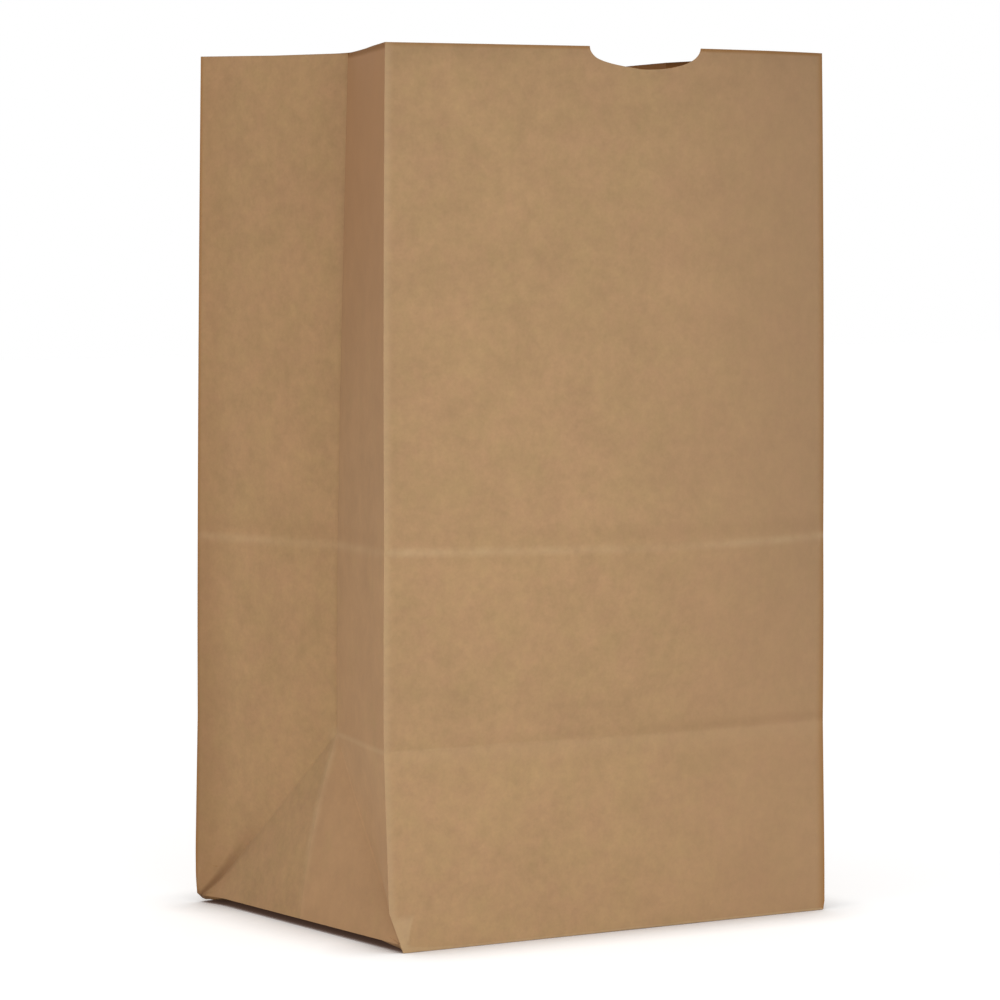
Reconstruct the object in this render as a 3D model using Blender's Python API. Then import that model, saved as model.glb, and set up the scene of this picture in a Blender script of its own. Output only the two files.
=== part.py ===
"""Open paper bag with a flat pasted base, folded from one tube of brown kraft paper.

Metres, +Z up, the base centre at the origin, the panel with the thumb notch facing -Y.
"""
import bmesh
import bpy
import numpy as np

for item in list(bpy.data.objects):
    bpy.data.objects.remove(item, do_unlink=True)

# Sizes of the opened bag
BAG_HEIGHT = 0.340
BAG_WIDTH = 0.206
BAG_DEPTH = 0.1508
PAPER = 0.00012

# Side folds: how far the middle crease stands in from the bag's corners
FOLD_IN_LOW = 0.0222
FOLD_IN_MIDDLE = 0.0225
FOLD_IN_TOP = 0.0260
FOLD_DROP = 0.0014
LOWER_RIDGE = 0.0022

# Bulge of the wide panels at the two cross creases, above them and at the mouth
FRONT_BULGE = (0.0033, 0.0141, 0.0103, 0.0121)
BACK_BULGE = (0.0030, 0.0095, 0.0080, 0.0095)
FRONT_LEAN = 0.55
BACK_LEAN = 0.0
BULGE_LEVEL = 0.72

# Base: corners drawn in from the panels, short edges lifted off the ground
NEAR_INSET = 0.0055
FAR_INSET = 0.0043
RIGHT_INSET = 0.0008
NEAR_FLARE = 0.015
FAR_FLARE = 0.004
BASE_NARROWER = (0.0019, 0.0006)
EDGE_LIFT = 0.0025
MOUTH_NARROWER = 0.0015
BACK_LOWER = 0.0012

# Thumb notch in the front panel
NOTCH_HALF_WIDTH = 0.0250
NOTCH_DEPTH = 0.0092
NOTCH_CENTRE = 0.0082
NOTCH_SIDES = 64

# Cells of the sheet: the slanting folds of the base run corner to corner through them,
# and a narrow strip along each fold lets the corners turn sharply
HALF_CELLS = 7
UPPER_ROWS = 12
FOLD_STRIP = 0.003
HALF_DEPTH = BAG_DEPTH / 2
HALF_WIDTH = BAG_WIDTH / 2
CELL = (HALF_DEPTH - FOLD_STRIP) / (HALF_CELLS - 1)
FLAP_CELLS = HALF_CELLS + 1
SIDE_CELLS = 2 * HALF_CELLS
WIDE_CELLS = 2 * FLAP_CELLS + 2
ROWS = SIDE_CELLS + UPPER_ROWS
LOOP = 2 * (WIDE_CELLS + SIDE_CELLS)

# Plies of paper under the base, counted from the ground up
OUTER_PLIES = 3
FRONT_FLAP_PLIES = OUTER_PLIES - 1
BACK_FLAP_PLIES = OUTER_PLIES
GROUND = OUTER_PLIES * PAPER


def through(level, values):
    """Value at a height: straight up to each cross crease, one curve above them."""
    if level <= HALF_DEPTH:
        return values[0] * level / HALF_DEPTH
    if level <= BAG_DEPTH:
        return values[0] + (values[1] - values[0]) * (level - HALF_DEPTH) / HALF_DEPTH
    middle = BULGE_LEVEL * BAG_HEIGHT
    knots = (BAG_DEPTH, middle, BAG_HEIGHT)
    total = 0.0
    for near in range(3):
        share = values[near + 1]
        for far in range(3):
            if far != near:
                share *= (level - knots[far]) / (knots[near] - knots[far])
        total += share
    return total


def fold_in(level):
    """Distance from the bag's corners in to the middle crease of a side."""
    return float(np.interp(level, (0, HALF_DEPTH, BAG_DEPTH, BAG_HEIGHT),
                           (0, FOLD_IN_LOW, FOLD_IN_MIDDLE, FOLD_IN_TOP)))


def rise(level):
    """Height above ground of a level of the sheet."""
    return GROUND + level * (BAG_HEIGHT - GROUND) / BAG_HEIGHT


def corner_y(level):
    """Half the distance between the front and back corners of a side."""
    if level < HALF_DEPTH:
        return HALF_DEPTH + (corner_y(HALF_DEPTH) - HALF_DEPTH) * level / HALF_DEPTH
    return float(np.sqrt(HALF_DEPTH ** 2 - fold_in(level) ** 2))


def corner_x(level, along):
    """Half the width at a level: the same paper spans less once the panel bulges."""
    back = (1 + along) / 2
    bulge = through(level, FRONT_BULGE) * (1 - back) + through(level, BACK_BULGE) * back
    taken = 4 / 3 * bulge ** 2 / BAG_WIDTH
    foot = BASE_NARROWER[0] * (1 - back) + BASE_NARROWER[1] * back
    narrower = foot * max(0.0, 1 - level / BAG_DEPTH)
    mouth = MOUTH_NARROWER * max(0.0, level - BAG_DEPTH) / (BAG_HEIGHT - BAG_DEPTH)
    return HALF_WIDTH - taken - narrower - mouth


def edge_lift(beyond, along):
    """Lift of an end of the base, from 0 at its slanting folds to 1 at the short edge."""
    inside = max(0.0, beyond - abs(along)) * HALF_DEPTH
    return EDGE_LIFT * beyond * min(1.0, inside / FOLD_STRIP)


def base_inset(side, along):
    """How far a short edge of the base stands in, along from -1 at the front to 1."""
    if side > 0:
        return RIGHT_INSET
    return NEAR_INSET + (FAR_INSET - NEAR_INSET) * (1 + along) / 2


def inset(level, side, along):
    """How far a corner of the sleeve is drawn in close to the ground."""
    flare = NEAR_FLARE if along < 0 and side < 0 else FAR_FLARE
    return base_inset(side, along) * max(0.0, 1 - level / flare)


def mouth_drop(level, along):
    """How much lower the sheet lies towards the back, where the mouth dips."""
    return BACK_LOWER * level / BAG_HEIGHT * (1 + along) / 2


def panel_point(across, level, back):
    """Point of the front or back panel, across from -1 at the left to 1 at the right."""
    bulges = BACK_BULGE if back else FRONT_BULGE
    lean = BACK_LEAN if back else FRONT_LEAN
    side = 1 if across > 0 else -1
    swell = through(level, bulges) * (1 - across ** 2) * (1 + lean * across)
    edge = 1 if back else -1
    x = (corner_x(level, edge) - inset(level, side, edge)) * across
    y = corner_y(level) + swell
    return np.array((x, edge * y, rise(level) - mouth_drop(level, edge)))


def side_point(along, level, side):
    """Point of a folded side, along from -1 at the front corner to 1 at the back."""
    reach = abs(along)
    if level >= HALF_DEPTH:
        x = corner_x(level, along) - fold_in(level) * (1 - reach)
        z = rise(level) - FOLD_DROP * (1 - reach) - mouth_drop(level, along)
        return np.array((side * x, corner_y(level) * along, z))
    part = level / HALF_DEPTH
    peak = np.array((corner_x(HALF_DEPTH, 0) - FOLD_IN_LOW, 0.0, rise(HALF_DEPTH) - FOLD_DROP))
    if reach <= 1 - part:
        return lower_triangle(along, part, side, peak)
    low = np.array((corner_x(0, np.sign(along)), HALF_DEPTH, rise(0)))
    wide = corner_x(HALF_DEPTH, np.sign(along))
    edge = np.array((wide, corner_y(HALF_DEPTH), rise(HALF_DEPTH)))
    apex = 1 - reach
    point = (1 - part) * low + (part - apex) * edge + apex * peak
    blend = (reach - (1 - part)) / part
    end = np.sign(along)
    drawn = base_inset(side, end) * (1 - part) * (1 - blend) + inset(level, side, end) * blend
    z = point[2] - mouth_drop(level, along)
    return np.array((side * (point[0] - drawn), point[1] * end, z))


def lower_triangle(along, part, side, peak):
    """Point of the facet between the base and the peak of the slanting folds."""
    span = max(1 - part, 1e-9)
    off = abs(along) / span
    low = np.array((corner_x(0, along / span), HALF_DEPTH, rise(0)))
    point = (1 - part) * low + part * peak
    ridge = LOWER_RIDGE * 4 * part * (1 - part) * (1 - off)
    lift = edge_lift(1 - part, along)
    x = point[0] - base_inset(side, along / span) * (1 - part) + ridge
    z = point[2] + lift - mouth_drop(part * HALF_DEPTH, along)
    return np.array((side * x, along * HALF_DEPTH, z))


def from_fold(step):
    """Distance from a fold to where its cells part: one narrow strip, then even cells."""
    return FOLD_STRIP + (step - 1) * CELL if step else 0.0


def side_stops():
    """Where a side's cells part between its front and back corners."""
    front = [from_fold(step) for step in range(HALF_CELLS + 1)]
    return front + [BAG_DEPTH - value for value in reversed(front[:-1])]


def base_columns():
    """Where the base's cells part across its width, as fractions of the half width."""
    ends = [from_fold(step) - HALF_WIDTH for step in range(FLAP_CELLS + 1)]
    stops = ends + [0.0] + [-value for value in reversed(ends)]
    return [value / HALF_WIDTH for value in stops]


def levels():
    """Heights on the sheet where its cells part."""
    upper = (BAG_HEIGHT - BAG_DEPTH) / UPPER_ROWS
    return side_stops() + [BAG_DEPTH + upper * row for row in range(1, UPPER_ROWS + 1)]


def sleeve_point(place, row):
    """Point of the outer skin at a place round the tube and a row up it."""
    across = base_columns()
    deep = [stop / HALF_DEPTH - 1 for stop in side_stops()]
    level = levels()[row]
    if place < WIDE_CELLS:
        return panel_point(across[place], level, False)
    place -= WIDE_CELLS
    if place < SIDE_CELLS:
        return side_point(deep[place], level, 1)
    place -= SIDE_CELLS
    if place < WIDE_CELLS:
        return panel_point(across[WIDE_CELLS - place], level, True)
    place -= WIDE_CELLS
    return side_point(deep[SIDE_CELLS - place], level, -1)


def base_point(column, line):
    """Point of the outer skin of the base, lifted towards its two short edges."""
    across = base_columns()[column]
    side = 1 if across > 0 else -1
    along = side_stops()[line] / HALF_DEPTH - 1
    half = corner_x(0, along) - base_inset(side, along)
    beyond = (abs(across) * HALF_WIDTH - (HALF_WIDTH - HALF_DEPTH)) / HALF_DEPTH
    return np.array((half * across, HALF_DEPTH * along, GROUND + edge_lift(beyond, along)))


def base_key(column, line):
    """Name of a base vertex: those on its outline belong to the sleeve."""
    if line == 0:
        return ("sleeve", column, 0)
    if column == WIDE_CELLS:
        return ("sleeve", WIDE_CELLS + line, 0)
    if line == SIDE_CELLS:
        return ("sleeve", 2 * WIDE_CELLS + SIDE_CELLS - column, 0)
    if column == 0:
        return ("sleeve", (LOOP - line) % LOOP, 0)
    return ("base", column, line)


def split_cell(column, line):
    """Corners of a base cell as one quad, or two triangles along a slanting fold."""
    near, far = (column, line), (column + 1, line + 1)
    right, up = (column + 1, line), (column, line + 1)
    from_left = column < WIDE_CELLS / 2
    inward = column if from_left else WIDE_CELLS - 1 - column
    on_front = inward == line and inward < HALF_CELLS
    on_back = inward == SIDE_CELLS - 1 - line and inward < FLAP_CELLS
    if not on_front and not on_back:
        return [(near, right, far, up)]
    if on_front == from_left:
        return [(near, right, far), (near, far, up)]
    return [(near, right, up), (right, far, up)]


def flap_step(corners):
    """Plies by which a cell of the base's underside stands below the folded ends."""
    column = sum(corner[0] for corner in corners) / len(corners)
    line = sum(corner[1] for corner in corners) / len(corners)
    inward = min(column, WIDE_CELLS - column)
    centre_band = inward > FLAP_CELLS
    from_back = SIDE_CELLS - line
    if from_back < FLAP_CELLS and (centre_band or from_back < inward):
        return BACK_FLAP_PLIES
    if line < inward or centre_band:
        return FRONT_FLAP_PLIES
    return 0


def floor_step(corners):
    """Plies by which a cell of the inside floor lies below the two end flaps."""
    column = sum(corner[0] for corner in corners) / len(corners)
    line = sum(corner[1] for corner in corners) / len(corners)
    if min(column, WIDE_CELLS - column) < FLAP_CELLS:
        return 0
    return FRONT_FLAP_PLIES if line < FLAP_CELLS else BACK_FLAP_PLIES


def sleeve_cells():
    """Cells of the tube as (keys, row, place), the two lowest side folds split."""
    cells = []
    for place in range(LOOP):
        for row in range(ROWS):
            near = ("sleeve", place, row)
            right = ("sleeve", (place + 1) % LOOP, row)
            far = ("sleeve", (place + 1) % LOOP, row + 1)
            up = ("sleeve", place, row + 1)
            along = (place % (WIDE_CELLS + SIDE_CELLS)) - WIDE_CELLS
            if along >= 0 and row < HALF_CELLS and along == row:
                cells += [((near, right, far), place), ((near, far, up), place)]
            elif along >= 0 and row < HALF_CELLS and along == SIDE_CELLS - 1 - row:
                cells += [((near, right, up), place), ((right, far, up), place)]
            elif along >= HALF_CELLS:
                cells.append(((right, far, up, near), place))
            else:
                cells.append(((near, right, far, up), place))
    return cells


def is_lap(place):
    """True for the column of the back panel where the tube's two edges are glued."""
    return place == WIDE_CELLS + SIDE_CELLS + FLAP_CELLS


def sheet_cells():
    """Every cell of both skins and the rim: (vertices, kind of step, plies)."""
    cells = []
    for keys, place in sleeve_cells():
        outer = tuple(("outer", key) for key in keys)
        inner = tuple(("inner", key) for key in reversed(keys))
        cells.append((outer, "lap", 1 if is_lap(place) else 0))
        cells.append((inner, "floor", 0))
    for column in range(WIDE_CELLS):
        for line in range(SIDE_CELLS):
            for corners in split_cell(column, line):
                keys = [base_key(*corner) for corner in corners]
                outer = tuple(("outer", key) for key in reversed(keys))
                inner = tuple(("inner", key) for key in keys)
                cells.append((outer, "floor", flap_step(corners)))
                cells.append((inner, "floor", floor_step(corners)))
    for place in range(LOOP):
        here = ("sleeve", place, ROWS)
        after = ("sleeve", (place + 1) % LOOP, ROWS)
        rim = (("outer", here), ("outer", after), ("inner", after), ("inner", here))
        cells.append((rim, "floor", 0))
    return cells


def outer_points():
    """Positions of the outer skin by vertex name."""
    points = {}
    for place in range(LOOP):
        for row in range(ROWS + 1):
            points[("sleeve", place, row)] = sleeve_point(place, row)
    for column in range(1, WIDE_CELLS):
        for line in range(1, SIDE_CELLS):
            points[("base", column, line)] = base_point(column, line)
    return points


def offsets(points, faces):
    """Step of one ply along the outward normals of the faces round each vertex."""
    normals = {}
    for keys in faces:
        corner = [points[key] for key in keys]
        normal = np.cross(corner[1] - corner[0], corner[2] - corner[0])
        if len(corner) == 4:
            normal = np.cross(corner[2] - corner[0], corner[3] - corner[1])
        normal = normal / np.linalg.norm(normal)
        for key in keys:
            normals.setdefault(key, []).append(normal)
    steps = {}
    for key, found in normals.items():
        wanted = np.full(len(found), PAPER)
        steps[key] = np.linalg.lstsq(np.array(found), wanted, rcond=0.1)[0]
    return steps


def vertex_places(cells):
    """Positions of both skins, and the outward step of the glued lap."""
    outer = outer_points()
    faces = []
    lap_faces = []
    for vertices, kind, plies in cells:
        if all(skin == "outer" for skin, key in vertices):
            keys = [key for skin, key in vertices]
            faces.append(keys)
            if kind == "lap" and plies:
                lap_faces.append(keys)
    steps = offsets(outer, faces)
    inner = {key: outer[key] - steps[key] for key in outer}
    return {"outer": outer, "inner": inner}, offsets(outer, lap_faces)


def build_sheet():
    """Closed mesh of the whole folded sheet, with a wall wherever plies step."""
    cells = sheet_cells()
    skins, lap_steps = vertex_places(cells)
    mesh = bmesh.new()
    made = {}

    def vertex(name, kind, plies):
        handle = (name, kind if plies else "", plies)
        if handle not in made:
            skin, key = name
            place = skins[skin][key]
            if plies and kind == "lap":
                place = place + lap_steps[key] * plies
            elif plies:
                place = place - np.array((0, 0, PAPER * plies))
            made[handle] = mesh.verts.new(place)
        return made[handle]

    sides = {}
    for vertices, kind, plies in cells:
        mesh.faces.new([vertex(name, kind, plies) for name in vertices])
        for start, end in zip(vertices, vertices[1:] + vertices[:1]):
            sides[(start, end)] = (kind, plies)
    for (start, end), (kind, plies) in sides.items():
        other_kind, other_plies = sides[(end, start)]
        if kind == other_kind and plies <= other_plies:
            continue
        floor = other_plies if kind == other_kind else 0
        for ply in range(plies, floor, -1):
            mesh.faces.new((vertex(end, kind, ply), vertex(start, kind, ply),
                            vertex(start, kind, ply - 1), vertex(end, kind, ply - 1)))
    bmesh.ops.recalc_face_normals(mesh, faces=mesh.faces[:])
    data = bpy.data.meshes.new("paper_bag")
    mesh.to_mesh(data)
    mesh.free()
    bag = bpy.data.objects.new("paper_bag", data)
    bpy.context.scene.collection.objects.link(bag)
    return bag


def cut_notch(bag):
    """Half an ellipse cut out of the front panel's rim for the thumb."""
    near = -(HALF_DEPTH + 2 * max(FRONT_BULGE))
    far = -HALF_DEPTH / 2
    bpy.ops.mesh.primitive_cylinder_add(vertices=NOTCH_SIDES, radius=1, depth=far - near,
                                        location=(NOTCH_CENTRE, (near + far) / 2, BAG_HEIGHT),
                                        rotation=(np.pi / 2, 0, 0))
    cutter = bpy.context.active_object
    cutter.scale = (NOTCH_HALF_WIDTH, NOTCH_DEPTH, 1)
    bpy.ops.object.transform_apply(location=True, rotation=True, scale=True)
    bpy.ops.object.select_all(action="DESELECT")
    bag.select_set(True)
    bpy.context.view_layer.objects.active = bag
    cut = bag.modifiers.new("notch", "BOOLEAN")
    cut.operation = "DIFFERENCE"
    cut.solver = "EXACT"
    cut.object = cutter
    bpy.ops.object.modifier_apply(modifier=cut.name)
    bpy.data.objects.remove(cutter, do_unlink=True)


def paint(bag):
    """Plain brown kraft paper."""
    kraft = bpy.data.materials.new("kraft paper")
    kraft.use_nodes = True
    shader = kraft.node_tree.nodes["Principled BSDF"]
    shader.inputs["Base Color"].default_value = (0.42, 0.27, 0.145, 1)
    shader.inputs["Roughness"].default_value = 0.85
    shader.inputs["Metallic"].default_value = 0.0
    bag.data.materials.append(kraft)


bag = build_sheet()
cut_notch(bag)
paint(bag)
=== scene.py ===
from math import cos, radians, sin

import bmesh
import bpy
import numpy as np
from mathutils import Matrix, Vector


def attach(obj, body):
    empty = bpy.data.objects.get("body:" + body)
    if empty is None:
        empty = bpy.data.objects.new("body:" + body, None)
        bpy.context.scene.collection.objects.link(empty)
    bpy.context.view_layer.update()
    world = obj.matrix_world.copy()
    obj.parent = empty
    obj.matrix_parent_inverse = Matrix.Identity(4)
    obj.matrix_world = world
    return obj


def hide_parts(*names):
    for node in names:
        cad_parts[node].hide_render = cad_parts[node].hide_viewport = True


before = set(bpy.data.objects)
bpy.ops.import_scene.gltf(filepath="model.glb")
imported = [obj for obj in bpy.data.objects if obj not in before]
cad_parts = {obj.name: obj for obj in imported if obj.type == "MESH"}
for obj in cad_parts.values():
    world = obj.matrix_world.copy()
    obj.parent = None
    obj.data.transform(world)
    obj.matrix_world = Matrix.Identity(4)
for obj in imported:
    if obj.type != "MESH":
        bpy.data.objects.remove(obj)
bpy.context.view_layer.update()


# The camera stands where the photograph was taken: low, level with the upper half of the
# bag, looking at the front panel and the folded left side through a long lens.
camera_turn = radians(32.475)
camera_pitch = radians(3.743)
camera_height = 0.2762
camera_distance = 1.7335
camera_sidestep = 0.0042
camera_roll = radians(-0.07)

bpy.ops.object.select_all(action="DESELECT")
bpy.ops.object.camera_add(
    location=(-camera_sidestep * cos(camera_turn) - camera_distance * sin(camera_turn),
              camera_sidestep * sin(camera_turn) - camera_distance * cos(camera_turn),
              camera_height),
    rotation=(radians(90) - camera_pitch, camera_roll, -camera_turn))
camera = bpy.context.active_object
camera.name = "camera"
camera.data.sensor_width = 36
camera.data.lens = 156.9
camera.data.clip_end = 50
bpy.context.scene.camera = camera


# The bag is one sheet of unbleached kraft paper, folded to a tube with creased-in sides and
# pasted into a flat base. It starts as the solid's own mesh, cut finer between its folds.
# Corners lie beyond corner_from in x, and the wide panels beyond wide_panel_from in y.
bag_height = 0.340
half_width = 0.103
half_depth = 0.0754
crease_low = half_depth
crease_high = 2 * half_depth
side_peak_drop = 0.0014
base_top = 0.0062
base_corner_top = 0.016
corner_from = 0.09
wide_panel_from = 0.069
crease_reach = 0.0028

bpy.ops.object.select_all(action="DESELECT")
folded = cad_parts["paper_bag"]
bag = bpy.data.objects.new("kraft_bag", folded.data.copy())
bpy.context.scene.collection.objects.link(bag)
bag.data.materials.clear()
bag.select_set(True)
bpy.context.view_layer.objects.active = bag

bpy.ops.object.mode_set(mode="EDIT")
bpy.ops.mesh.select_mode(type="EDGE")
bpy.ops.mesh.select_all(action="SELECT")
bpy.ops.mesh.remove_doubles(threshold=0.000002)
bpy.ops.mesh.tris_convert_to_quads(face_threshold=radians(8), shape_threshold=radians(30))


def on_cross_crease(ends):
    """True for an edge that runs along one of the two creases round the bag."""
    return any(all(abs(end.z - crease) < crease_reach for end in ends)
               for crease in (crease_low, crease_high))


# Where the paper turns, at a fold, the rim or the step of a ply, the edge stays sharp.
cage = bmesh.from_edit_mesh(bag.data)
bpy.ops.mesh.select_all(action="DESELECT")
for edge in cage.edges:
    turns = edge.is_manifold and edge.calc_face_angle(0) > radians(6.5)
    edge.select_set(turns or on_cross_crease([vertex.co for vertex in edge.verts]))
bmesh.update_edit_mesh(bag.data)
bpy.ops.transform.edge_crease(value=1.0)
bpy.ops.object.mode_set(mode="OBJECT")


# Every face corner is told where it lay on the flat sheet before folding: across its panel
# from the panel's middle, and up from the base fold. Creases are straight lines there.
def corner_folds(mesh):
    """Points of the four upright folds between the wide panels and the sides."""
    lines = {(x, y): [] for x in (-1, 1) for y in (-1, 1)}
    for edge in mesh.edges:
        run = edge.verts[1].co - edge.verts[0].co
        upright = run.length > 0.001 and abs(run.z) > 0.7 * run.length
        if upright and edge.is_manifold and edge.calc_face_angle(0) > radians(60):
            for vertex in edge.verts:
                if abs(vertex.co.x) > corner_from:
                    quarter = (1 if vertex.co.x > 0 else -1, 1 if vertex.co.y > 0 else -1)
                    lines[quarter].append((vertex.co.z, abs(vertex.co.x), abs(vertex.co.y)))
    return {quarter: np.array(sorted(points)) for quarter, points in lines.items()}


def on_sheet(place, face, folds):
    """Flat place of a face corner, the way its face looks, and the kind of panel it is on.

    A wide panel looks -1 at the front, 1 at the back, and twice that inside the bag. A side
    and the base look 0 outside and 2 inside. The kind is (side, base, cut edge), nil each
    for a wide panel, with the side's sign.
    """
    middle, normal = face["middle"], face["normal"]
    quarter = (1 if middle.x > 0 else -1, 1 if middle.y > 0 else -1)
    line = folds[quarter]
    if face["thin"] and (abs(normal.y) < 0.8 or middle.z < base_top):
        return (place.x, place.z, 0), (0, 0, 1)
    if abs(normal.z) > 0.85 and middle.z < base_top:
        return (place.x, place.y, 2 if normal.z > 0 else 0), (0, 1, 0)
    slanting_corner = (abs(middle.x) > corner_from and 0 < middle.y < half_depth - 0.0005
                       and middle.z < base_corner_top)
    if abs(normal.x) > abs(normal.y) or slanting_corner:
        across = place.y / np.interp(place.z, line[:, 0], line[:, 2]) * half_depth
        inward = min(1 - abs(across) / half_depth, place.z / half_depth)
        inner = normal.x * middle.x < 0
        return (across, place.z + side_peak_drop * inward, 2 if inner else 0), (quarter[0], 0, 0)
    inner = normal.y * middle.y < 0
    across = place.x / np.interp(place.z, line[:, 0], line[:, 1]) * half_width
    return (across, place.z, quarter[1] * (2 if inner else 1)), (0, 0, 0)


mesh = bmesh.new()
mesh.from_mesh(bag.data)
folds = corner_folds(mesh)
cut_edge_width = 0.0003
flat_places = []
panel_kinds = []
for face in mesh.faces:
    longest = max(edge.calc_length() for edge in face.edges)
    facts = {"normal": face.normal, "middle": face.calc_center_median(),
             "thin": face.calc_area() / longest < cut_edge_width}
    for loop in face.loops:
        flat, kind = on_sheet(loop.vert.co, facts, folds)
        flat_places += flat
        panel_kinds += kind
mesh.free()
for name, values in (("sheet", flat_places), ("panel", panel_kinds)):
    attribute = bag.data.attributes.new(name, "FLOAT_VECTOR", "CORNER")
    attribute.data.foreach_set("vector", values)

finer = bag.modifiers.new("finer", "SUBSURF")
finer.levels = 2
finer.render_levels = 2
bpy.ops.object.modifier_apply(modifier=finer.name)

# The finer cells are rounded off beside the notch, so the wide panels' heights are read anew.
flat_data = bag.data.attributes["sheet"].data
kind_data = bag.data.attributes["panel"].data
for loop in bag.data.loops:
    if kind_data[loop.index].vector.length < 0.5:
        flat_data[loop.index].vector[1] = bag.data.vertices[loop.vertex_index].co.z


# The upper cross crease was made by hand: it runs a little low, least at the near corner.
def crease_sag(place):
    """How much lower the upper crease lies at a place round the bag."""
    right = place.x / half_width
    back = place.y / half_depth
    if abs(place.y) > wide_panel_from:
        values = (0.0004, 0.0022, 0.0016) if back < 0 else (0.0029, 0.0026, 0.0020)
        return float(np.interp(right, (-1, 0, 1), values))
    return float(np.interp(back, (-1, 1), (0.0016, 0.0020) if right > 0 else (0.0004, 0.0029)))


sag_reach = 0.04
for vertex in bag.data.vertices:
    away = abs(vertex.co.z - crease_high) / sag_reach
    if away < 1:
        vertex.co.z -= crease_sag(vertex.co) * (1 - away)

# The notch has a flatter bottom than the solid's, and the rim is not quite level at the side.
notch_middle = 0.0082
notch_zone = 0.322
notch_rise = 0.0007
left_slope_rise = 0.0005
side_rim_rise = 0.0006
back_rim_drop = 0.0002
for vertex in bag.data.vertices:
    place = vertex.co
    if place.y < -0.07 and place.z > notch_zone:
        rise = notch_rise * max(0.0, 1 - ((place.x - notch_middle) / 0.022) ** 2)
        rise += left_slope_rise * max(0.0, 1 - ((place.x + 0.004) / 0.010) ** 2)
        place.z += rise * min(1.0, (place.z - notch_zone) / 0.008)
    if place.x < -0.05 and abs(place.y) < 0.035 and place.z > 0.30:
        place.z += side_rim_rise * (1 - abs(place.y) / 0.035) * (place.z - 0.30) / 0.04
    if place.x > 0.06 and place.y > -0.02 and place.z > 0.31:
        place.z -= back_rim_drop * (place.z - 0.31) / 0.03

# The front edge of the base is let down to the floor, by two thicknesses of paper.
paper_thickness = 0.00012
plies_top = 0.0006
floor_gap = 0.00002
for vertex in bag.data.vertices:
    place = vertex.co
    if place.y < -0.070 and place.z < plies_top:
        lower = 2 * paper_thickness * min(1.0, (-0.070 - place.y) / 0.005)
        place.z = max(floor_gap, place.z - lower)

# At the back left corner of the base the slanting fold runs right into the corner, and the
# flap under it is drawn back from the lifted edge.
flap_drawn_back = 0.0040
fold_pushed_out = 0.0028
for vertex in bag.data.vertices:
    place = vertex.co
    if place.x < -0.085 and place.y > 0.050:
        if place.z < plies_top:
            outward = min(1.0, (-0.085 - place.x) / 0.010)
            place.x += flap_drawn_back * outward * min(1.0, (place.y - 0.050) / 0.020)
        elif place.z < 0.015 and place.x < -corner_from:
            along = min((place.y - 0.0604) / 0.012, (0.0753 - place.y) / 0.0029)
            above = min(1.0, (0.0153 - place.z) / 0.012)
            place.x -= fold_pushed_out * min(1.0, max(0.0, along)) * above

# The paper is not quite flat: slow waves in each panel, held still at the folds and the base.
for panel, axis in (("wide", "Y"), ("side", "X")):
    group = bag.vertex_groups.new(name=panel)
    for vertex in bag.data.vertices:
        place = vertex.co
        clear_of_base = min(1.0, max(0.0, (place.z - 0.004) / 0.03))
        if axis == "Y":
            from_fold = (0.1 - abs(place.x)) / 0.03 if abs(place.y) > wide_panel_from else 0
        else:
            from_fold = min(abs(place.y), 0.07 - abs(place.y)) / 0.02
        weight = clear_of_base * min(1.0, max(0.0, from_fold))
        if weight > 0:
            group.add([vertex.index], weight, "REPLACE")
    waves = bpy.data.textures.new(panel + " waves", "CLOUDS")
    waves.noise_scale = 0.055
    waves.noise_depth = 1
    swell = bag.modifiers.new(panel, "DISPLACE")
    swell.texture = waves
    swell.texture_coords = "LOCAL"
    swell.direction = axis
    swell.mid_level = 0.5
    swell.strength = 0.0018
    swell.vertex_group = panel
    bpy.ops.object.modifier_apply(modifier=swell.name)

bpy.ops.object.shade_smooth_by_angle(angle=radians(12))


# Kraft paper: brown with olive and reddish clouds and short fibres, matt, paler where a crease
# has broken its surface, with painted shade in its folds, hollows and upper parts and painted
# highlights on some facets.
kraft = bpy.data.materials.new("brown kraft paper")
kraft.use_nodes = True
tree = kraft.node_tree
paper = tree.nodes["Principled BSDF"]
paper.inputs["Specular IOR Level"].default_value = 0.25


def wire(source, target):
    """Join a socket, or set a plain value, on a target socket of the same tree."""
    if isinstance(source, (int, float)):
        target.default_value = source
    else:
        target.node.id_data.links.new(source, target)


def work_out(operation, first, second=0.0, third=0.0, tree=tree):
    """Math node of one operation."""
    node = tree.nodes.new("ShaderNodeMath")
    node.operation = operation
    for place, value in enumerate((first, second, third)):
        wire(value, node.inputs[place])
    return node.outputs[0]


def times(*factors):
    """Product of several values."""
    product = factors[0]
    for factor in factors[1:]:
        product = work_out("MULTIPLY", product, factor)
    return product


def fade(value, start, end, low=0.0, high=1.0):
    """Soft change from low to high as a value goes from start to end."""
    node = tree.nodes.new("ShaderNodeMapRange")
    node.interpolation_type = "SMOOTHSTEP"
    wire(value, node.inputs["Value"])
    ends = {"From Min": start, "From Max": end, "To Min": low, "To Max": high}
    for label, number in ends.items():
        node.inputs[label].default_value = number
    return node.outputs["Result"]


def close_to(distance, width):
    """Mask of a line: 1 where a distance is nil, 0 from its width on."""
    return fade(work_out("ABSOLUTE", distance), 0.0, width, 1.0, 0.0)


def offset(value, by):
    """Value less a plain number."""
    return work_out("SUBTRACT", value, by)


def either(*masks):
    """Greatest of several masks."""
    most = masks[0]
    for mask in masks[1:]:
        most = work_out("MAXIMUM", most, mask)
    return most


where = tree.nodes.new("ShaderNodeTexCoord").outputs["Object"]


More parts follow.
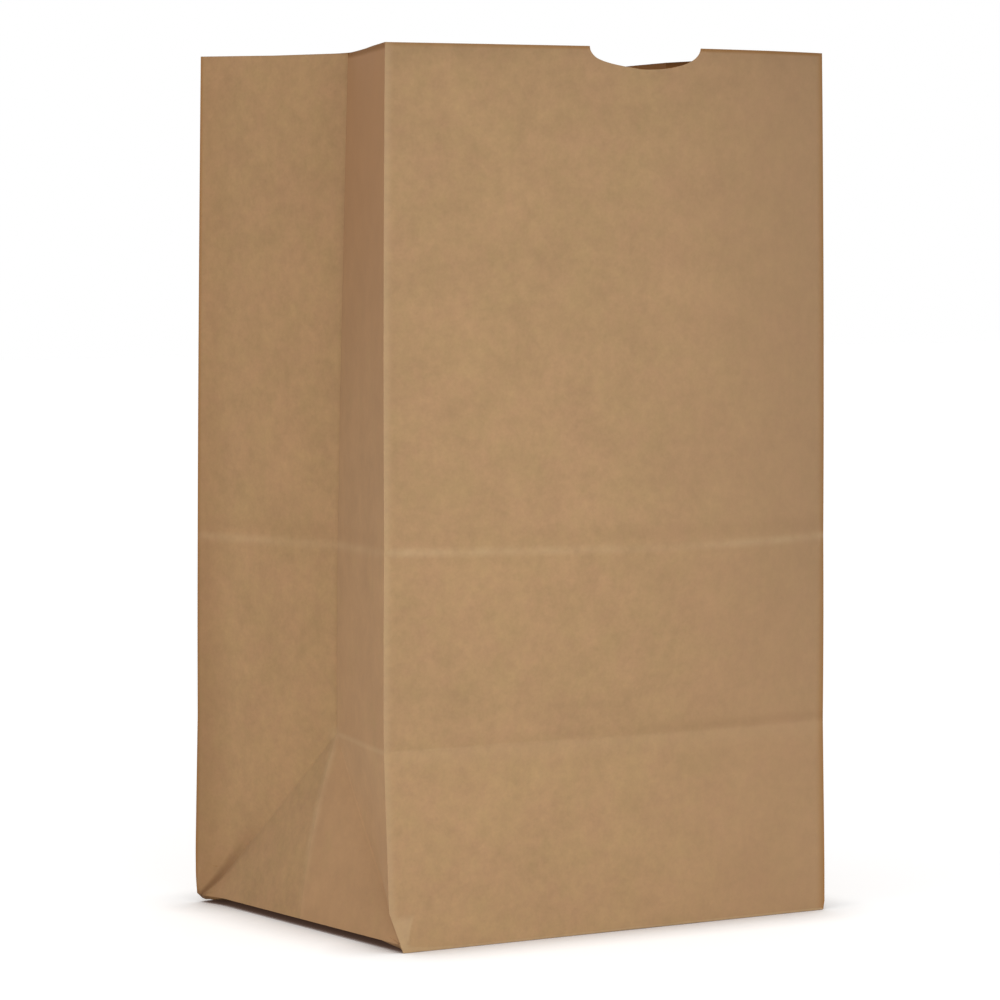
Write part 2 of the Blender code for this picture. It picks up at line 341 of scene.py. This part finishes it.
def cloudy(scale, detail, roughness, stretch=(1, 1, 1), start=(0, 0, 0)):
    """Noise on the object's own coordinates, drawn out along an axis."""
    mapping = tree.nodes.new("ShaderNodeMapping")
    mapping.inputs["Location"].default_value = start
    mapping.inputs["Scale"].default_value = stretch
    wire(where, mapping.inputs["Vector"])
    noise = tree.nodes.new("ShaderNodeTexNoise")
    noise.inputs["Scale"].default_value = scale
    noise.inputs["Detail"].default_value = detail
    noise.inputs["Roughness"].default_value = roughness
    wire(mapping.outputs[0], noise.inputs["Vector"])
    return noise.outputs["Fac"]


def parts_of(name):
    """The three numbers of one of the sheet's own attributes."""
    attribute = tree.nodes.new("ShaderNodeAttribute")
    attribute.attribute_name = name
    split = tree.nodes.new("ShaderNodeSeparateXYZ")
    wire(attribute.outputs["Vector"], split.inputs[0])
    return split.outputs["X"], split.outputs["Y"], split.outputs["Z"]


across, level, facing = parts_of("sheet")
side_sign, on_base, on_cut = parts_of("panel")
on_side = work_out("ABSOLUTE", side_sign)
on_wide = work_out("SUBTRACT", 1.0, either(on_side, on_base, on_cut))
on_front = times(on_wide, work_out("LESS_THAN", facing, 0.0))
reach = work_out("ABSOLUTE", across)
inside = work_out("GREATER_THAN", work_out("ABSOLUTE", facing), 1.5)

large = cloudy(26, 2, 0.5)
clouds = cloudy(75, 3, 0.6, start=(3, 1, 2))
mottle = cloudy(250, 3, 0.6)
fibres = cloudy(850, 2, 0.6)
drift = cloudy(55, 3, 0.6, start=(7, 4, 1))
speckle = cloudy(230, 2, 0.6, start=(1, 8, 5))

# Tone and hue of the plain sheet.
near_half = times(on_side, work_out("LESS_THAN", across, 0.0))
slant = work_out("ADD", offset(level, half_depth), reach)
base_end = times(on_side, work_out("LESS_THAN", slant, 0.0))
tone = work_out("MULTIPLY_ADD", offset(large, 0.5), 0.12, 1.0)
tone = work_out("MULTIPLY_ADD", offset(clouds, 0.5), 0.24, tone)
specks = times(offset(work_out("MULTIPLY_ADD", fibres, 0.5, mottle), 0.75), 0.28)
tone = work_out("MULTIPLY_ADD", specks, work_out("MULTIPLY_ADD", near_half, -0.5, 1.0), tone)
# Painted shade: the sheet darkens towards the top, and the front more so near the mouth, most at
# the right.
tone = times(tone, fade(level, 0.02, bag_height, 1.01, 0.97))
shade_near_mouth = work_out("ADD", fade(level, 0.300, 0.334, 0.0, 0.045),
                      fade(level, 0.330, bag_height, 0.0, 0.075))
tone = work_out("SUBTRACT", tone, times(on_front, shade_near_mouth, fade(across, 0.0, 0.10, 1.0, 1.5)))
# Painted shade and light: the near half of a side is darker at the top and lighter at the
# bottom.
tone = work_out("MULTIPLY_ADD", near_half, fade(level, 0.02, bag_height, 0.06, -0.125), tone)
tone = work_out("MULTIPLY_ADD", base_end, -0.04, tone)
above_peak = fade(level, crease_low - 0.001, crease_low + 0.001)
# Painted light: the wide panels are a little lighter below the lower crease.
painted_light_foot = fade(level, crease_low - 0.001, crease_low + 0.001, 0.035, 0.0)
tone = work_out("MULTIPLY_ADD", on_wide, painted_light_foot, tone)
hue = work_out("MULTIPLY_ADD", offset(speckle, 0.5), 0.5, drift)
hue = work_out("MULTIPLY_ADD", near_half, -0.25, hue)
reddish_kraft = (0.453, 0.2755, 0.1435, 1)
olive_kraft = (0.438, 0.2815, 0.1375, 1)
shades = tree.nodes.new("ShaderNodeValToRGB")
shades.color_ramp.elements[0].position = 0.30
shades.color_ramp.elements[0].color = reddish_kraft
shades.color_ramp.elements[1].position = 0.70
shades.color_ramp.elements[1].color = olive_kraft
wire(hue, shades.inputs["Fac"])

# Upper cross crease: a soft pale line, faintest in the middle, and a band of painted shade above
# it.
patchy = fade(clouds, 0.35, 0.62, 0.5, 1.0)
wobble = times(offset(clouds, 0.5), 0.0010)
from_high = work_out("SUBTRACT", offset(level, crease_high), wobble)
from_low = work_out("SUBTRACT", offset(level, crease_low), wobble)
fades_right = times(fade(across, -0.10, 0.02, 1.0, 0.40),
                    fade(across, 0.03, 0.07, 1.0, 2.0))
high_line = times(close_to(from_high, 0.0028), patchy,
                  either(times(on_side, 0.65), times(on_wide, fades_right)))
high_hollow_shade = times(close_to(offset(from_high, 0.0055), 0.0050),
                    fade(across, -0.10, 0.0, 0.2, 1.0))

# Lower cross crease: the wide panel turns up below it and is painted lighter there, with painted
# shade above the crease at the right and a painted highlight on the near half's lower facet.
grows_right = fade(across, -0.02, 0.07, 0.25, 1.0)
low_line = times(close_to(from_low, 0.0010), on_wide, patchy,
                 fade(across, -0.10, 0.03, 1.0, 0.2))
painted_light_low_panel = times(fade(from_low, -0.009, -0.0005), fade(from_low, -0.0006, 0.0010, 1.0, 0.0),
                  on_wide)
low_hollow_shade = times(close_to(offset(from_low, 0.0024), 0.0034), on_wide, grows_right)
near_crease = times(close_to(offset(level, crease_low), 0.0022), near_half)
near_facet_highlight = times(near_half, work_out("GREATER_THAN", slant, 0.0),
                   fade(level, crease_low - 0.040, crease_low - 0.002),
                   fade(level, crease_low - 0.001, crease_low, 1.0, 0.0))

# Upright folds: worn pale beside the near corner, painted shade where the sheet turns out of
# sight.
fold_gap = work_out("SUBTRACT", half_width, reach)
left_end = work_out("LESS_THAN", across, 0.0)
right_end = work_out("SUBTRACT", 1.0, left_end)
worn_strip = times(fade(fold_gap, 0.0006, 0.0030, 1.0, 0.0), on_wide, left_end)
side_gap = work_out("SUBTRACT", half_depth, reach)
turned_away = either(times(close_to(fold_gap, 0.0032), on_wide, right_end),
                     times(close_to(side_gap, 0.0018), on_side, right_end))
side_border = times(fade(side_gap, 0.001, 0.022, 1.0, 0.0), on_side, right_end)
low_border = times(side_border, fade(level, 0.10, 0.25, 1.0, 0.0))

# The tube's glued lap down the middle of the back shows as two faint lines.
on_back = times(on_wide, work_out("GREATER_THAN", facing, 0.0))
lap = times(either(close_to(across, 0.0007), close_to(offset(across, 0.0155), 0.0007)), on_back,
            fade(level, 0.0, 0.01))

# Middle fold of a side: painted shade in the valley above the peak, a worn ridge below it.
middle_valley_shade = times(close_to(reach, 0.0022), on_side, above_peak)
middle_ridge = times(close_to(reach, 0.0042), on_side, work_out("SUBTRACT", 1.0, above_peak),
                     fade(level, 0.004, 0.040, 0.3, 1.0), patchy)
peak = times(close_to(reach, 0.007), close_to(offset(level, crease_low), 0.005), on_side)

# Slanting folds from the peak to the base corners, with painted shade in the hollow beside them,
# deepest near the corners, and a painted dark line along each.
deep_end = either(times(fade(level, 0.0, 0.042, 1.0, 0.0), right_end),
                  times(fade(level, 0.0, 0.020, 1.0, 0.0), 0.8))
hollow_width = work_out("MULTIPLY_ADD", level, 0.17, 0.0020)
from_slant = work_out("DIVIDE", work_out("MULTIPLY_ADD", hollow_width, -0.45, slant),
                      hollow_width)
slant_hollow_shade = times(close_to(from_slant, 1.0), deep_end, on_side)
slant_shade_line = times(close_to(slant, 0.0016), on_side, fade(level, 0.0, 0.03, 0.9, 0.25))

# The far corner of the base is pinched, with painted shade in it.
far_tip_shade = times(on_side, right_end, fade(level, 0.0030, 0.0075, 1.0, 0.0),
                fade(side_gap, 0.0030, 0.0080, 1.0, 0.0))

# The front corner of the base on the left is pushed in, with a painted highlight on a small
# facet.
facet_side = work_out("MULTIPLY_ADD", level, 0.75, work_out("MULTIPLY", fold_gap, -1.0))
facet = times(fade(facet_side, -0.0004, 0.0010), fade(level, 0.0115, 0.0150, 1.0, 0.0),
              on_front, left_end)

# Cut edge at the mouth, darker, most of all on the near half of a side.
rim = times(fade(level, bag_height - 0.0018, bag_height - 0.0004),
            fade(across, -0.10, 0.05, 0.5, 1.0))
near_rim = times(fade(level, bag_height - 0.0032, bag_height - 0.0012), near_half)

# Pale: worn creases and cut edges, and painted highlights on lower panels and facets. Dark:
# painted shade in hollows, folds and corners, the glued lap, the darker mouth edge and a darker
# strip at a side's far edge.
wear_and_highlight_pale = either(times(high_line, 0.30), times(low_line, 0.10), times(painted_light_low_panel, 0.06),
              times(near_crease, 0.22), times(near_facet_highlight, 0.08), times(worn_strip, 0.20),
              times(middle_ridge, 0.23), times(peak, 0.18), times(facet, 0.28),
              times(on_cut, 0.2))
shade_lap_and_rim = either(times(high_hollow_shade, 0.07), times(low_hollow_shade, 0.12), times(middle_valley_shade, 0.10),
              times(lap, 0.16), times(slant_hollow_shade, 0.72), times(slant_shade_line, 0.12),
              times(rim, 0.2), times(near_rim, 0.50), times(far_tip_shade, 0.5),
              times(low_border, 0.20))


def blend(factor, first, second):
    """Mix of two colours, the second a plain one."""
    node = tree.nodes.new("ShaderNodeMix")
    node.data_type = "RGBA"
    wire(factor, node.inputs["Factor"])
    wire(first, node.inputs["A"])
    node.inputs["B"].default_value = second
    return node.outputs["Result"]


pinkish = (0.430, 0.255, 0.137, 1)
russet = (0.420, 0.215, 0.095, 1)
deep_shade = (0.330, 0.150, 0.035, 1)
painted_bounce_inside = (0.50, 0.20, 0.05, 1)
shade_and_lap_brown = (0.150, 0.068, 0.026, 1)
broken_fibres_and_highlight = (0.66, 0.48, 0.285, 1)
toned = tree.nodes.new("ShaderNodeVectorMath")
toned.operation = "SCALE"
wire(shades.outputs["Color"], toned.inputs[0])
wire(tone, toned.inputs["Scale"])
# Painted shade: the top of the near half of a side turns russet.
shaded_near_top = times(near_half, fade(level, 0.15, bag_height))
colour = blend(times(on_front, fade(across, -0.02, 0.10), 0.5), toned.outputs[0], pinkish)
colour = blend(either(times(side_border, 0.16), times(shaded_near_top, 0.66)), colour, russet)
# Painted shade: the inside of the bag and the folds turned out of sight go deep brown, as does
# the mouth's edge.
colour = blend(either(times(turned_away, 0.7), times(inside, 0.45), times(near_rim, 0.8),
                      times(rim, on_wide, 0.7)),
               colour, deep_shade)
# Painted warm bounce light on the inside just below the mouth.
colour = blend(times(inside, fade(level, 0.328, 0.336), 0.85), colour, painted_bounce_inside)
# Painted shade and the lap lines turn dark brown; worn creases, cut edges and painted highlights
# turn pale.
colour = blend(shade_lap_and_rim, colour, shade_and_lap_brown)
colour = blend(wear_and_highlight_pale, colour, broken_fibres_and_highlight)
wire(colour, paper.inputs["Base Color"])

grain = work_out("MULTIPLY_ADD", mottle, 0.6, times(fibres, 0.4))
ridges = work_out("SUBTRACT", either(high_line, low_line, middle_ridge),
                  times(slant_hollow_shade, 0.8))
relief = work_out("MULTIPLY_ADD", ridges, 0.9, times(grain, 0.7))
bump = tree.nodes.new("ShaderNodeBump")
bump.inputs["Strength"].default_value = 0.3
bump.inputs["Distance"].default_value = 0.0003
wire(relief, bump.inputs["Height"])
wire(bump.outputs["Normal"], paper.inputs["Normal"])
wire(work_out("MULTIPLY_ADD", mottle, 0.12, 0.72), paper.inputs["Roughness"])

bag.data.materials.append(kraft)
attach(bag, "root")
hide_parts("paper_bag")


# The bag stands on a white studio floor that keeps its soft contact shadow, partly from the
# lamps and partly
# painted: ambient occlusion darkens its colour and its glow, warmest where deepest. The camera
# sees it white, and dark only in the gap under the bag's lifted end.
bpy.ops.object.select_all(action="DESELECT")
bpy.ops.mesh.primitive_plane_add(size=12, location=(0, 0, -0.0001))
floor = bpy.context.active_object
floor.name = "floor"
bpy.ops.object.transform_apply(location=True, rotation=True, scale=True)
white = bpy.data.materials.new("white floor")
white.use_nodes = True
ground = white.node_tree
plain_white = (1, 1, 1, 1)
warm_shade = (1.0, 0.50, 0.32, 1)


def seen_directly(tree):
    """1 for camera, glossy and transmission rays, which see the plain backdrop."""
    rays = tree.nodes.new("ShaderNodeLightPath").outputs
    seen = work_out("MAXIMUM", rays["Is Camera Ray"], rays["Is Glossy Ray"], tree=tree)
    return work_out("MAXIMUM", seen, rays["Is Transmission Ray"], tree=tree)


shine = ground.nodes["Principled BSDF"]
shine.inputs["Roughness"].default_value = 0.9
gap = ground.nodes.new("ShaderNodeAmbientOcclusion")
gap.samples = 8
gap.inputs["Distance"].default_value = 0.03
glow = ground.nodes.new("ShaderNodeEmission")
warmth = ground.nodes.new("ShaderNodeValToRGB")
warmth.color_ramp.elements[0].position = 0.15
warmth.color_ramp.elements[0].color = warm_shade
warmth.color_ramp.elements[1].position = 0.60
warmth.color_ramp.elements[1].color = plain_white
wire(gap.outputs["AO"], warmth.inputs["Fac"])
wire(warmth.outputs["Color"], glow.inputs["Color"])
open_floor = work_out("POWER", gap.outputs["AO"], 1.5, tree=ground)
clear = ground.nodes.new("ShaderNodeMapRange")
clear.inputs["From Min"].default_value = 0.28
clear.inputs["From Max"].default_value = 0.60
clear.inputs["To Max"].default_value = 0.8
wire(gap.outputs["AO"], clear.inputs["Value"])
wire(clear.outputs["Result"], shine.inputs["Base Color"])
lit = work_out("MULTIPLY", work_out("MULTIPLY_ADD", open_floor, 0.59, 0.03, tree=ground),
               seen_directly(ground), tree=ground)
wire(lit, glow.inputs["Strength"])
both = ground.nodes.new("ShaderNodeAddShader")
wire(shine.outputs["BSDF"], both.inputs[0])
wire(glow.outputs["Emission"], both.inputs[1])
wire(both.outputs[0], ground.nodes["Material Output"].inputs["Surface"])
floor.data.materials.append(white)

# A pale room and three soft lamps: one far off beside the camera, and two small low ones
# near the bag, in front of its front panel and beside its folded side.
world = bpy.data.worlds.new("studio")
bpy.context.scene.world = world
world.use_nodes = True
sky = world.node_tree
room = sky.nodes["Background"]
room.inputs["Color"].default_value = plain_white
room.inputs["Strength"].default_value = 0.45
backdrop = sky.nodes.new("ShaderNodeBackground")
backdrop.inputs["Color"].default_value = plain_white
backdrop.inputs["Strength"].default_value = 1.0
pick = sky.nodes.new("ShaderNodeMixShader")
wire(seen_directly(sky), pick.inputs[0])
wire(room.outputs[0], pick.inputs[1])
wire(backdrop.outputs[0], pick.inputs[2])
wire(pick.outputs[0], sky.nodes["World Output"].inputs["Surface"])


def soft_lamp(name, place, aim, size, power):
    """Square studio lamp that points at a spot."""
    bpy.ops.object.light_add(type="AREA", location=place)
    lamp = bpy.context.active_object
    lamp.name = name
    lamp.data.shape = "SQUARE"
    lamp.data.size = size
    lamp.data.energy = power
    aim_at = Vector(aim) - Vector(place)
    lamp.rotation_euler = aim_at.to_track_quat("-Z", "Y").to_euler()
    return lamp


soft_lamp("far lamp", (-0.62, -1.70, 0.28), (0, 0, 0.15), 0.5, 4.9)
soft_lamp("front lamp", (0.03, -0.76, 0.12), (0, 0, 0.08), 0.2, 1.02)
side_lamp = soft_lamp("side lamp", (-0.80, -0.25, 0.20), (0, 0, 0.12), 0.2, 1.5)
side_lamp.data.color = (1, 0.88, 0.77)
bpy.context.scene.view_settings.view_transform = "Standard"
